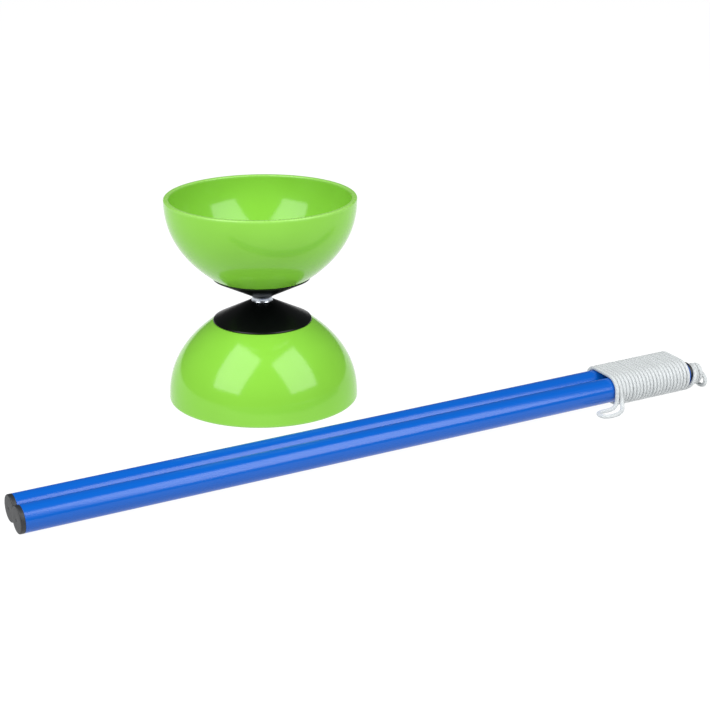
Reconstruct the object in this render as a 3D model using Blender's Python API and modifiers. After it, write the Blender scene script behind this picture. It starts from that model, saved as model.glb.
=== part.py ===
"""Small plastic diabolo with its two handsticks and string, put away side by side.

The spool stands on one rim with its axle upright. The handsticks lie beside it along X, held
together by their own string: doubled, it is wound round both of them in one layer near the tips,
so that end of the pair is lifted by the thickness of the winding.

Metres, +Z up. The origin is on the floor, in the middle of the spool and sticks taken together.
"""

import math

import bmesh
import bpy
from mathutils import Vector

MM = 0.001
GAP = 0.3 * MM  # between pieces that touch on the real object
MERGE_DISTANCE = 0.01 * MM

# Spool. Heights are for the lower half, measured from its rim. The upper half is the same, turned over.
SPOOL_HEIGHT = 100.0 * MM
RIM_RADIUS = 46.0 * MM
CUP_WALL = 2.6 * MM
CUP_CURVE_HEIGHT = 49.9 * MM  # where the cup's curve would close if it ran on to the axis
CUP_CURVE_POWERS = (2.306, 1.254)  # of height and of radius, in its superellipse
CUP_SEAT = 38.7 * MM  # outer face of the cup's flat end, where the cone sits
CUP_STEPS = 48
CUP_CURVE_POINTS = 10
RIM_ROUND = 0.9 * MM
RIM_ROUND_POINTS = ((0.25, 0.3), (0.8, 0.0))  # in from the wall and up, in parts of RIM_ROUND
RIM_TURN_HEIGHT = 1.6 * MM
FLOOR_FILLET = 2.0 * MM  # where the inside turns in to the cup's floor
SPIGOT_RADIUS = 7.0 * MM  # the cone's boss, which goes through the cup's end

CONE_BASE_RADIUS = 24.0 * MM
CONE_TIP_RADIUS = 5.9 * MM
CONE_TIP = 48.4 * MM
CONE_TIP_POINTS = ((-0.3 * MM, 0.0), (0.2 * MM, -0.25 * MM))  # out from the tip's edge, and up
CONE_EDGE_POINTS = (  # the rounded edge: in from the base's radius, and up from the base
    (1.2 * MM, 1.0 * MM),
    (0.3 * MM, 0.65 * MM),
    (0.0, 0.2 * MM),
    (0.1 * MM, 0.0),
)
CONE_STEPS = 36

ROD_RADIUS = 3.0 * MM  # M6
ROD_CHAMFER = 0.6 * MM
ROD_END = 23.2 * MM
ROD_STEPS = 16
HUB_COLLAR_RADIUS = 5.2 * MM
HUB_WAIST_RADIUS = 4.9 * MM
HUB_SLEEVE_RADIUS = 4.0 * MM
HUB_SLEEVE_REACH = 5.0 * MM  # how far each end of the hub goes into its cone
HUB_STEPS = 24

PLATE_RADIUS = 15.0 * MM
PLATE_THICKNESS = 2.8 * MM
PLATE_EDGE = ((1.0, 0.35), (0.9, 0.75), (0.72, 1.0))  # parts of its radius, and of its thickness
WASHER_RADIUS = 9.0 * MM
WASHER_THICKNESS = 1.2 * MM
NUT_ACROSS_FLATS = 10.0 * MM
NUT_HEIGHT = 6.0 * MM
NUT_RECESS_RADIUS = 4.3 * MM
NUT_RECESS_DEPTH = 1.4 * MM
NUT_RING_SUNK = 0.1 * MM  # the nylon ring's face, inside the nut's
CUTTER_OVERRUN = 1.0 * MM

# Handsticks. Distances along a stick are measured from the face of its grip plug.
TUBE_RADIUS = 6.0 * MM
TUBE_WALL = 1.0 * MM
STICK_LENGTH = 350.0 * MM
STICK_SPACING = 2 * TUBE_RADIUS + GAP
PLUG_FLANGE = 2.0 * MM
PLUG_INSERT_DEPTH = 14.0 * MM
PLUG_INSERT_RADIUS = TUBE_RADIUS - TUBE_WALL - GAP
PLUG_EDGE_ROUND = 0.5 * MM
ROUND_MIDDLE = 0.3  # the middle point of a rounded edge, in parts of its radius
TIP_FLANGE_RADIUS = 5.6 * MM
TIP_NOSE_RADIUS = 2.2 * MM
TIP_NOSE_LENGTH = 4.0 * MM
TIP_HOLE_RADIUS = 1.4 * MM
TIP_POCKET_RADIUS = 3.4 * MM  # holds the stopper knot
TIP_POCKET_DEPTH = 6.5 * MM
TUBE_STEPS = 24

# String.
STRING_RADIUS = 1.0 * MM
WINDING_START = 295.0 * MM
WINDING_END = 341.0 * MM
WINDING_REACH = 2.1 * MM  # how far the winding stands out from the tubes
HITCH_START = 346.5 * MM
HITCH_LENGTH = 6.4 * MM
HITCH_INNER_RADIUS = 4.6 * MM
HITCH_OUTER_RADIUS = 6.1 * MM
HITCH_DROP = 2.0 * MM  # the loose turns hang this far below the nose's axis
KNOT_RADIUS = 2.4 * MM
TUBE_END = STICK_LENGTH - TIP_NOSE_LENGTH - PLUG_FLANGE - GAP
ARC_POINTS = 10

# Where the two groups stand.
SPOOL_X = -17.0 * MM
SPOOL_Y = 27.9 * MM
GRIP_X = -STICK_LENGTH / 2
FRONT_Y = -(SPOOL_Y + RIM_RADIUS) + TUBE_RADIUS
STICK_PITCH = math.asin(WINDING_REACH / WINDING_START)

# Finishes: sRGB colour, roughness, metallic.
CUP_PLASTIC = ("7BD62E", 0.25, 0.0)
BLACK_PLASTIC = ("0B0C0E", 0.4, 0.0)
ZINC_STEEL = ("B9BDC2", 0.3, 1.0)
POLISHED_STEEL = ("B9BDC2", 0.2, 1.0)
NYLON = ("D9D9D2", 0.5, 0.0)
BLUE_TUBE = ("0A5FD0", 0.25, 0.0)
BRAID = ("E4E6E8", 0.8, 0.0)


def clear_scene():
    for leftover in list(bpy.data.objects):
        bpy.data.objects.remove(leftover, do_unlink=True)


def new_collection(name):
    made = bpy.data.collections.new(name)
    bpy.context.scene.collection.children.link(made)
    return made


def linear(hex_colour):
    """A Principled BSDF colour from an sRGB one."""
    channels = [int(hex_colour[i : i + 2], 16) / 255 for i in (0, 2, 4)]
    return [c / 12.92 if c <= 0.04045 else ((c + 0.055) / 1.055) ** 2.4 for c in channels] + [1.0]


def give_material(piece, finish):
    hex_colour, roughness, metallic = finish
    material = bpy.data.materials.new(piece.name + "_material")
    material.use_nodes = True
    shader = material.node_tree.nodes["Principled BSDF"]
    shader.inputs["Base Color"].default_value = linear(hex_colour)
    shader.inputs["Roughness"].default_value = roughness
    shader.inputs["Metallic"].default_value = metallic
    piece.data.materials.clear()
    piece.data.materials.append(material)


def axis_frame(name, location, rotation=(0, 0, 0)):
    """An empty that a group of pieces is placed in."""
    frame = bpy.data.objects.new(name, None)
    frame.location = location
    frame.rotation_euler = rotation
    collection.objects.link(frame)
    return frame


def place(piece, parent, location=(0, 0, 0), rotation=(0, 0, 0)):
    piece.parent = parent
    piece.location = location
    piece.rotation_euler = rotation
    return piece


def turned_mesh(name, profile, closed=True):
    """A profile of (radius, height) points in the XZ plane, for a Screw modifier to turn about Z."""
    mesh = bpy.data.meshes.new(name)
    shape = bmesh.new()
    points = [shape.verts.new((radius, 0, height)) for radius, height in profile]
    for first, second in zip(points, points[1:]):
        shape.edges.new((first, second))
    if closed:
        shape.edges.new((points[-1], points[0]))
    shape.to_mesh(mesh)
    shape.free()
    return mesh


def turned(name, mesh, steps, target=None):
    """A piece turned about its own Z axis."""
    piece = bpy.data.objects.new(name, mesh)
    (target or collection).objects.link(piece)
    screw = piece.modifiers.new("turn", "SCREW")
    screw.axis = "Z"
    screw.angle = math.tau
    screw.steps = steps
    screw.render_steps = steps
    screw.use_merge_vertices = True
    screw.merge_threshold = MERGE_DISTANCE
    screw.use_smooth_shade = True
    return piece


def disc_profile(inner, outer, low, high):
    return [(inner, high), (outer, high), (outer, low), (inner, low)]


# The spool


def cup_radius(height):
    height_power, radius_power = CUP_CURVE_POWERS
    return RIM_RADIUS * (1 - (height / CUP_CURVE_HEIGHT) ** height_power) ** (1 / radius_power)


def cup_curve():
    """Points up the outside of the cup, closer together where it turns in towards the cone."""
    curve = []
    for i in range(CUP_CURVE_POINTS + 1):
        turn = math.pi / 2 * i / CUP_CURVE_POINTS
        height = RIM_TURN_HEIGHT + (CUP_SEAT - RIM_TURN_HEIGHT) * math.sin(turn)
        curve.append(Vector((cup_radius(height), height)))
    return curve


def inward(curve, distance):
    """The curve moved that far to its inner side."""
    moved = []
    for i, point in enumerate(curve):
        along = curve[min(i + 1, len(curve) - 1)] - curve[max(i - 1, 0)]
        normal = Vector((-along.y, along.x)).normalized()
        moved.append(point + normal * distance)
    return moved


def cup_profile():
    """One cup: its flat end, down the outside, round the rim and back up the inside."""
    outside = cup_curve()
    floor = CUP_SEAT - CUP_WALL
    inside = [point for point in inward(outside, CUP_WALL) if point.y < floor - RIM_ROUND]
    hole = SPIGOT_RADIUS + GAP
    rim_inner = inside[0].x
    profile = [(hole, CUP_SEAT)]
    profile += [tuple(point) for point in reversed(outside)]
    profile += [(RIM_RADIUS - inset * RIM_ROUND, up * RIM_ROUND) for inset, up in RIM_ROUND_POINTS]
    profile += [
        (rim_inner + inset * RIM_ROUND, up * RIM_ROUND) for inset, up in reversed(RIM_ROUND_POINTS)
    ]
    profile += [tuple(point) for point in inside]
    profile += [(inside[-1].x - FLOOR_FILLET, floor), (hole, floor)]
    return profile


def cone_profile():
    """The cone's tip, down its flank to the base, and its stepped bore for the hub and the rod."""
    hub_bore = HUB_SLEEVE_RADIUS + GAP
    rod_bore = ROD_RADIUS + GAP
    base = CUP_SEAT + GAP
    return [
        (hub_bore, CONE_TIP),
        *[(CONE_TIP_RADIUS + out, CONE_TIP + up) for out, up in CONE_TIP_POINTS],
        *[(CONE_BASE_RADIUS - inset, base + up) for inset, up in CONE_EDGE_POINTS],
        (SPIGOT_RADIUS, base),
        (SPIGOT_RADIUS, CUP_SEAT - CUP_WALL),
        (rod_bore, CUP_SEAT - CUP_WALL),
        (rod_bore, CONE_TIP - HUB_SLEEVE_REACH - GAP),
        (hub_bore, CONE_TIP - HUB_SLEEVE_REACH - GAP),
    ]


def plate_profile(top):
    bore = ROD_RADIUS + GAP
    return [
        (bore, top),
        (PLATE_RADIUS, top),
        *[(part * PLATE_RADIUS, top - drop * PLATE_THICKNESS) for part, drop in PLATE_EDGE],
        (bore, top - PLATE_THICKNESS),
    ]


def rod_profile():
    low, high = ROD_END, SPOOL_HEIGHT - ROD_END
    return [
        (0, high),
        (ROD_RADIUS - ROD_CHAMFER, high),
        (ROD_RADIUS, high - ROD_CHAMFER),
        (ROD_RADIUS, low + ROD_CHAMFER),
        (ROD_RADIUS - ROD_CHAMFER, low),
        (0, low),
    ]


def hub_profile():
    """The plain bush that the string runs on: a collar with a shallow waist, and two sleeves."""
    bore = ROD_RADIUS + GAP
    middle = SPOOL_HEIGHT / 2
    collar = middle - CONE_TIP - GAP
    sleeve = middle - CONE_TIP + HUB_SLEEVE_REACH
    return [
        (bore, middle + sleeve),
        (HUB_SLEEVE_RADIUS, middle + sleeve),
        (HUB_SLEEVE_RADIUS, middle + collar),
        (HUB_COLLAR_RADIUS, middle + collar),
        (HUB_WAIST_RADIUS, middle),
        (HUB_COLLAR_RADIUS, middle - collar),
        (HUB_SLEEVE_RADIUS, middle - collar),
        (HUB_SLEEVE_RADIUS, middle - sleeve),
        (bore, middle - sleeve),
    ]


def lock_nut_mesh(top):
    """A hexagon with a through hole and the recess that holds its nylon ring."""
    mesh = bpy.data.meshes.new("lock_nut")
    shape = bmesh.new()
    corner = NUT_ACROSS_FLATS / math.sqrt(3)
    bmesh.ops.create_cone(
        shape, cap_ends=True, segments=6, radius1=corner, radius2=corner, depth=NUT_HEIGHT
    )
    bmesh.ops.translate(shape, verts=shape.verts, vec=(0, 0, top - NUT_HEIGHT / 2))
    shape.to_mesh(mesh)
    shape.free()
    bore = ROD_RADIUS + GAP
    low = top - NUT_HEIGHT
    recess = low + NUT_RECESS_DEPTH
    profile = [
        (0, top + CUTTER_OVERRUN),
        (bore, top + CUTTER_OVERRUN),
        (bore, recess),
        (NUT_RECESS_RADIUS, recess),
        (NUT_RECESS_RADIUS, low - CUTTER_OVERRUN),
        (0, low - CUTTER_OVERRUN),
    ]
    cutter = turned(
        "nut_bore_cutter", turned_mesh("nut_bore", profile, closed=False), ROD_STEPS, cutters
    )
    cutter.hide_render = True
    cutter.display_type = "WIRE"
    return mesh, cutter


def both_halves(name, mesh, steps, finish):
    """The same turned piece in the lower half of the spool and, turned over, in the upper half."""
    for end, height, flip in (("lower", 0, 0), ("upper", SPOOL_HEIGHT, math.pi)):
        piece = turned(f"{name}_{end}", mesh.copy(), steps)
        place(piece, spool_frame, (0, 0, height), (flip, 0, 0))
        give_material(piece, finish)


def build_spool():
    both_halves("cup", turned_mesh("cup", cup_profile()), CUP_STEPS, CUP_PLASTIC)
    both_halves("cone", turned_mesh("cone", cone_profile()), CONE_STEPS, BLACK_PLASTIC)
    plate_top = CUP_SEAT - CUP_WALL - GAP
    plate_mesh = turned_mesh("clamp_plate", plate_profile(plate_top))
    both_halves("clamp_plate", plate_mesh, HUB_STEPS, BLACK_PLASTIC)
    bore = ROD_RADIUS + GAP
    washer_top = plate_top - PLATE_THICKNESS - GAP
    washer_profile = disc_profile(bore, WASHER_RADIUS, washer_top - WASHER_THICKNESS, washer_top)
    washer_mesh = turned_mesh("washer", washer_profile)
    both_halves("washer", washer_mesh, HUB_STEPS, ZINC_STEEL)

    nut_top = washer_top - WASHER_THICKNESS - GAP
    nut_mesh, bore_cutter = lock_nut_mesh(nut_top)
    bore_cutter.parent = spool_frame
    for end, height, flip in (("lower", 0, 0), ("upper", SPOOL_HEIGHT, math.pi)):
        nut = bpy.data.objects.new(f"lock_nut_{end}", nut_mesh.copy())
        collection.objects.link(nut)
        place(nut, spool_frame, (0, 0, height), (flip, 0, 0))
        cutter = bore_cutter
        if flip:
            cutter = bore_cutter.copy()
            cutters.objects.link(cutter)
            place(cutter, spool_frame, (0, 0, height), (flip, 0, 0))
        cut = nut.modifiers.new("bore", "BOOLEAN")
        cut.operation = "DIFFERENCE"
        cut.solver = "EXACT"
        cut.object = cutter
        give_material(nut, ZINC_STEEL)

    ring_low = nut_top - NUT_HEIGHT + NUT_RING_SUNK
    ring_high = nut_top - NUT_HEIGHT + NUT_RECESS_DEPTH - GAP
    ring_profile = disc_profile(bore, NUT_RECESS_RADIUS - GAP, ring_low, ring_high)
    both_halves("nut_insert", turned_mesh("nut_insert", ring_profile), ROD_STEPS, NYLON)

    rod = turned("axle_rod", turned_mesh("axle_rod", rod_profile(), closed=False), ROD_STEPS)
    place(rod, spool_frame)
    give_material(rod, ZINC_STEEL)
    hub = turned("axle_hub", turned_mesh("axle_hub", hub_profile()), HUB_STEPS)
    place(hub, spool_frame)
    give_material(hub, POLISHED_STEEL)


# The handsticks


def grip_plug_profile():
    """From the end inside the tube to the flat outer face, which is at 0."""
    round_off = PLUG_EDGE_ROUND
    return [
        (0, PLUG_FLANGE + PLUG_INSERT_DEPTH),
        (PLUG_INSERT_RADIUS - round_off, PLUG_FLANGE + PLUG_INSERT_DEPTH),
        (PLUG_INSERT_RADIUS, PLUG_FLANGE + PLUG_INSERT_DEPTH - round_off),
        (PLUG_INSERT_RADIUS, PLUG_FLANGE),
        (TUBE_RADIUS, PLUG_FLANGE),
        (TUBE_RADIUS, round_off),
        (TUBE_RADIUS - ROUND_MIDDLE * round_off, ROUND_MIDDLE * round_off),
        (TUBE_RADIUS - round_off, 0),
        (0, 0),
    ]


def tip_plug_profile():
    """The nose, the flange and the insert, round a hole with a pocket for the stopper knot."""
    nose_end = STICK_LENGTH
    flange_end = STICK_LENGTH - TIP_NOSE_LENGTH
    flange_start = flange_end - PLUG_FLANGE
    insert_end = flange_start - PLUG_INSERT_DEPTH
    round_off = PLUG_EDGE_ROUND
    return [
        (TIP_HOLE_RADIUS, nose_end),
        (TIP_NOSE_RADIUS - ROUND_MIDDLE * round_off, nose_end),
        (TIP_NOSE_RADIUS, nose_end - 2 * ROUND_MIDDLE * round_off),
        (TIP_NOSE_RADIUS, flange_end),
        (TIP_FLANGE_RADIUS - round_off, flange_end),
        (TIP_FLANGE_RADIUS, flange_end - round_off),
        (TIP_FLANGE_RADIUS, flange_start),
        (PLUG_INSERT_RADIUS, flange_start),
        (PLUG_INSERT_RADIUS, insert_end),
        (TIP_POCKET_RADIUS, insert_end),
        (TIP_POCKET_RADIUS, insert_end + TIP_POCKET_DEPTH),
        (TIP_HOLE_RADIUS, insert_end + TIP_POCKET_DEPTH),
    ]


def along_stick(name, profile, frame, finish, closed=True):
    """A piece turned about a stick's axis: profile heights are distances along the stick."""
    piece = turned(name, turned_mesh(name, profile, closed), TUBE_STEPS)
    place(piece, frame, rotation=(0, math.pi / 2, 0))
    give_material(piece, finish)


def build_sticks():
    tube = disc_profile(TUBE_RADIUS - TUBE_WALL, TUBE_RADIUS, PLUG_FLANGE + GAP, TUBE_END)
    for side, frame in stick_frames.items():
        along_stick(f"stick_tube_{side}", tube, frame, BLUE_TUBE)
        along_stick(f"grip_plug_{side}", grip_plug_profile(), frame, BLACK_PLASTIC, closed=False)
        along_stick(f"tip_plug_{side}", tip_plug_profile(), frame, BLACK_PLASTIC)


# The string


def stadium(radius):
    """The outline round both tubes, in the plane across them, with the front tube at its centre."""
    outline = []
    for centre, start in ((STICK_SPACING, -math.pi / 2), (0, math.pi / 2)):
        for i in range(ARC_POINTS + 1):
            turn = start + math.pi * i / ARC_POINTS
            outline.append((centre + radius * math.cos(turn), radius * math.sin(turn)))
    return outline


def build_winding():
    """One closed sleeve of the winding's outer shape, round both tubes."""
    curve = bpy.data.curves.new("string_winding", "CURVE")
    curve.dimensions = "2D"
    curve.fill_mode = "BOTH"
    curve.extrude = (WINDING_END - WINDING_START) / 2
    for radius in (TUBE_RADIUS + WINDING_REACH, TUBE_RADIUS + GAP):
        outline = stadium(radius)
        spline = curve.splines.new("POLY")
        spline.points.add(len(outline) - 1)
        spline.use_cyclic_u = True
        for point, (across, up) in zip(spline.points, outline):
            point.co = (across, up, 0, 1)
    piece = bpy.data.objects.new("string_winding", curve)
    collection.objects.link(piece)
    middle = (WINDING_START + WINDING_END) / 2
    place(piece, stick_frames["front"], (middle, 0, 0), (math.pi / 2, 0, math.pi / 2))
    give_material(piece, BRAID)


def smooth_route(points, pieces=3):
    """Points on a Catmull-Rom curve through the given ones, in metres from millimetres."""
    knots = [Vector(point) * MM for point in points]
    knots = [2 * knots[0] - knots[1], *knots, 2 * knots[-1] - knots[-2]]
    route = []
    for before, start, end, after in zip(knots, knots[1:], knots[2:], knots[3:]):
        for i in range(pieces):
            t = i / pieces
            route.append(
                0.5
                * (
                    2 * start
                    + (end - before) * t
                    + (2 * before - 5 * start + 4 * end - after) * t**2
                    + (3 * start - before - 3 * end + after) * t**3
                )
            )
    route.append(knots[-2])
    return route


def string_tube(name, points, frame):
    """A stretch of the string that isn't coiled. Points are millimetres in the stick's frame."""
    route = smooth_route(points)
    curve = bpy.data.curves.new(name, "CURVE")
    curve.dimensions = "3D"
    curve.bevel_depth = STRING_RADIUS
    curve.bevel_resolution = 2
    curve.use_fill_caps = True
    spline = curve.splines.new("POLY")
    spline.points.add(len(route) - 1)
    for point, place_on_route in zip(spline.points, route):
        point.co = (*place_on_route, 1)
    piece = bpy.data.objects.new(name, curve)
    collection.objects.link(piece)
    place(piece, frame)
    give_material(piece, BRAID)


# Along the stick, across it and up from its axis, in millimetres.
BIGHT_ROUTE = [
    (294.0, -8.6, -4.2),
    (292.6, -7.9, -6.3),
    (290.4, -6.0, -7.0),
    (288.2, -6.3, -7.0),
    (287.4, -8.6, -7.0),
    (288.6, -10.9, -7.0),
    (291.2, -11.8, -7.0),
    (294.0, -11.2, -7.0),
    (296.6, -9.9, -6.4),
]
LEAD_FRONT_ROUTE = [(341.6, -7.1, -2.8), (343.6, -7.6, -1.8), (345.4, -7.8, -0.6)]
TAIL_FRONT_ROUTE = [
    (336.9, 0.0, 0.0),
    (343.0, 0.0, 0.0),
    (350.0, 0.0, 0.0),
    (352.6, -0.4, -0.5),
    (354.4, -1.6, -2.2),
    (354.6, -3.4, -4.2),
]
LEAD_REAR_ROUTE = [
    (336.9, 0.0, 0.0),
    (343.0, 0.0, 0.0),
    (350.0, 0.0, 0.0),
    (353.0, -0.9, -0.7),
    (354.4, -3.1, -2.5),
    (353.2, -4.8, -4.2),
    (350.0, -5.2, -4.9),
    (346.0, -5.5, -5.5),
    (342.3, -6.1, -6.2),
]


def build_string():
    front, rear = stick_frames["front"], stick_frames["rear"]
    build_winding()
    string_tube("string_bight", BIGHT_ROUTE, front)
    string_tube("string_lead_front", LEAD_FRONT_ROUTE, front)
    string_tube("string_tail_front", TAIL_FRONT_ROUTE, front)
    string_tube("string_lead_rear", LEAD_REAR_ROUTE, rear)

    hitch = turned(
        "string_hitch",
        turned_mesh(
            "string_hitch",
            disc_profile(HITCH_INNER_RADIUS, HITCH_OUTER_RADIUS, 0, HITCH_LENGTH),
        ),
        TUBE_STEPS,
    )
    place(hitch, front, (HITCH_START, 0, -HITCH_DROP), (0, math.pi / 2, 0))
    give_material(hitch, BRAID)

    knot_mesh = bpy.data.meshes.new("string_knot")
    shape = bmesh.new()
    bmesh.ops.create_uvsphere(shape, u_segments=12, v_segments=8, radius=KNOT_RADIUS)
    shape.to_mesh(knot_mesh)
    shape.free()
    pocket_start = TUBE_END + GAP - PLUG_INSERT_DEPTH
    middle = pocket_start + TIP_POCKET_DEPTH - KNOT_RADIUS - GAP
    for side, frame in stick_frames.items():
        knot = bpy.data.objects.new(f"string_knot_{side}", knot_mesh.copy())
        collection.objects.link(knot)
        place(knot, frame, (middle, 0, 0))
        give_material(knot, BRAID)


clear_scene()
collection = new_collection("diabolo")
cutters = new_collection("cutters")
spool_frame = axis_frame("spool_axis", (SPOOL_X, SPOOL_Y, 0))
stick_frames = {
    side: axis_frame(
        f"stick_axis_{side}",
        (GRIP_X, FRONT_Y + offset, TUBE_RADIUS),
        (0, -STICK_PITCH, 0),
    )
    for side, offset in (("front", 0), ("rear", STICK_SPACING))
}
build_spool()
build_sticks()
build_string()
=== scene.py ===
"""Visual model of a small plastic diabolo, put away beside its two handsticks.

The spool is two green cups and two black cones, clamped by a rod on a plain steel hub that its
string runs on. The handsticks are blue aluminium tubes with black plugs. Their white braided
string is wound round both of them near the tips, doubled, and each end is knotted inside a tip
plug.
"""

import logging
import math
from dataclasses import dataclass
from enum import Enum
from typing import Callable, Iterable, Sequence

import bpy
import numpy as np
from mathutils import Matrix, Vector


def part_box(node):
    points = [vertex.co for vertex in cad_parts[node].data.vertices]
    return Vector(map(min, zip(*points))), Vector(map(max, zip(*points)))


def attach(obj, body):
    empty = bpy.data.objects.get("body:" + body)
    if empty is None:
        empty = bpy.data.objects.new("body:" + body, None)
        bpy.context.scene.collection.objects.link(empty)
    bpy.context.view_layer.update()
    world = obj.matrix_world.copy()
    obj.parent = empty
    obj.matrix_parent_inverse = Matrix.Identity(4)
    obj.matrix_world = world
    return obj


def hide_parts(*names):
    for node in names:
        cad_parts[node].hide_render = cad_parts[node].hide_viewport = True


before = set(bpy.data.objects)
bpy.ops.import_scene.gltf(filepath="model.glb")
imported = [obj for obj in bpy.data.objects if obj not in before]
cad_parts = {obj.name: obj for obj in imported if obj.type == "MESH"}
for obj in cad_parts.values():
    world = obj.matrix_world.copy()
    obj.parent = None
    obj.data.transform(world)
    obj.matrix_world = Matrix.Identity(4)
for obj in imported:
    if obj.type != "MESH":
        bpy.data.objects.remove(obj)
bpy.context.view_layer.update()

MM = 0.001
LOG = logging.getLogger("diabolo")

MERGE_DISTANCE = 0.002 * MM
SMOOTH_ANGLE = math.radians(32)
ARC_STEP = math.radians(15)  # between the points of a rounded corner
ARC_REACH = 0.49  # the most of an edge that one corner's rounding may take up
FINE_EDGE = 0.1 * MM  # as it leaves the tool
BROKEN_EDGE = 0.2 * MM
SOFT_EDGE = 0.3 * MM


class Body(Enum):
    """The parts that move on their own."""

    SPOOL = "spool"
    HUB = "hub"
    HANDSTICKS = "handsticks"


class Slot(Enum):
    """The record's material slots."""

    CUP_PLASTIC = "cup_plastic"
    BLACK_PLASTIC = "black_plastic"
    ZINC_STEEL = "zinc_steel"
    POLISHED_STEEL = "polished_steel"
    NYLON = "nylon"
    STICK_TUBE = "stick_tube"
    PLUG_PLASTIC = "plug_plastic"
    BRAID = "braid"


class Half(Enum):
    """The two ends of the spool, which are the same piece turned over."""

    LOWER = "lower"
    UPPER = "upper"


class Side(Enum):
    """The two handsticks, by which lies in front."""

    FRONT = "front"
    REAR = "rear"


# Shared modelling


@dataclass(frozen=True)
class Corner:
    """A corner of a turned profile: its distance from the axis, its height and its rounding."""

    radius: float
    height: float
    rounding: float = 0.0


def deselect() -> None:
    """Leave nothing selected, so that an operator meets only what is added next."""
    if bpy.context.object and bpy.context.object.mode != "OBJECT":
        bpy.ops.object.mode_set(mode="OBJECT")
    bpy.ops.object.select_all(action="DESELECT")


def pick(piece: bpy.types.Object) -> None:
    """Make a piece the only one selected, and the active one."""
    deselect()
    piece.select_set(True)
    bpy.context.view_layer.objects.active = piece


def name_piece(piece: bpy.types.Object, name: str) -> bpy.types.Object:
    """Give a piece and its mesh one name."""
    piece.name = piece.data.name = name
    return piece


def rounded_outline(corners: Sequence[Corner], closed: bool) -> list[Vector]:
    """Round the corners of a profile.

    Args:
        corners: The profile's corners, in order.
        closed: Whether the last corner joins the first.

    Returns:
        Points of (radius, height), with an arc in place of each rounded corner.
    """
    outline: list[Vector] = []
    for i, corner in enumerate(corners):
        here = Vector((corner.radius, corner.height))
        if corner.rounding <= 0 or (not closed and i in (0, len(corners) - 1)):
            outline.append(here)
            continue
        before, after = corners[i - 1], corners[(i + 1) % len(corners)]
        back = Vector((before.radius, before.height)) - here
        ahead = Vector((after.radius, after.height)) - here
        half_angle = back.angle(ahead) / 2
        reach = corner.rounding / math.tan(half_angle)
        reach = min(reach, ARC_REACH * back.length, ARC_REACH * ahead.length)
        start = here + back.normalized() * reach
        end = here + ahead.normalized() * reach
        pieces = max(2, round((math.pi - 2 * half_angle) / ARC_STEP))
        centre = here + (back.normalized() + ahead.normalized()).normalized() * (
            reach / math.cos(half_angle)
        )
        swing = (start - centre).angle_signed(end - centre)
        for k in range(pieces + 1):
            turn = Matrix.Rotation(-swing * k / pieces, 2)
            outline.append(centre + turn @ (start - centre))
    return outline


def draw_section(points: Sequence[Vector]) -> bpy.types.Object:
    """Draw an open section through points of (radius, height), and stay in edit mode."""
    deselect()
    bpy.ops.mesh.primitive_plane_add(size=MM, location=(points[0].x, 0, points[0].y))
    bpy.ops.object.transform_apply(location=True)
    bpy.ops.object.mode_set(mode="EDIT")
    bpy.ops.mesh.select_all(action="SELECT")
    bpy.ops.mesh.merge(type="CENTER")
    for here, there in zip(points, points[1:]):
        step = there - here
        bpy.ops.mesh.extrude_vertices_move(TRANSFORM_OT_translate={"value": (step.x, 0, step.y)})
    bpy.ops.mesh.select_all(action="SELECT")
    return bpy.context.object


def close_seams() -> None:
    """Merge what a sweep laid twice, point the faces outwards and leave edit mode."""
    bpy.ops.mesh.select_all(action="SELECT")
    bpy.ops.mesh.remove_doubles(threshold=MERGE_DISTANCE)
    bpy.ops.mesh.normals_make_consistent(inside=False)
    bpy.ops.object.mode_set(mode="OBJECT")


def turn(
    name: str, corners: Sequence[Corner], placement: Matrix, steps: int, closed: bool = True
) -> bpy.types.Object:
    """Turn a profile round its axis, as on a lathe.

    Args:
        name: The piece's name.
        corners: The profile, in the plane of the axis and +X.
        placement: Where the profile's axis, its own Z, goes in the row frame.
        steps: How many steps make a full turn.
        closed: Whether the profile closes on itself, and not on the axis.

    Returns:
        The piece, with its place in its mesh.
    """
    outline = rounded_outline(corners, closed)
    if closed:
        outline.append(outline[0])
    piece = name_piece(draw_section(outline), name)
    bpy.ops.mesh.spin(steps=steps, angle=math.tau, center=(0, 0, 0), axis=(0, 0, 1))
    close_seams()
    settle(piece, placement)
    return piece


def settle(piece: bpy.types.Object, placement: Matrix) -> None:
    """Move a piece to its place, put that place in its mesh and shade it."""
    pick(piece)
    piece.matrix_world = placement
    bpy.ops.object.transform_apply(location=True, rotation=True, scale=True)
    bpy.ops.object.shade_smooth_by_angle(angle=SMOOTH_ANGLE)


def apply_boolean(piece: bpy.types.Object, other: bpy.types.Object, operation: str) -> None:
    """Cut or join a piece with another, which is used up."""
    pick(piece)
    cut = piece.modifiers.new("shape", "BOOLEAN")
    cut.operation = operation
    cut.solver = "EXACT"
    cut.object = other
    bpy.ops.object.modifier_apply(modifier=cut.name)
    bpy.data.objects.remove(other, do_unlink=True)


def enter(piece: bpy.types.Object, body: Body, slot: Slot, *nodes: str) -> None:
    """Hang a finished piece on its body and hide the CAD nodes that it stands for."""
    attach(piece, body.value)
    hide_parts(*nodes)
    LOG.info("%s: %d faces, on %s", piece.name, len(piece.data.polygons), body.value)


def box_middle(node: str) -> Vector:
    """The middle of a CAD node's box."""
    low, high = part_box(node)
    return (low + high) / 2


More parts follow.
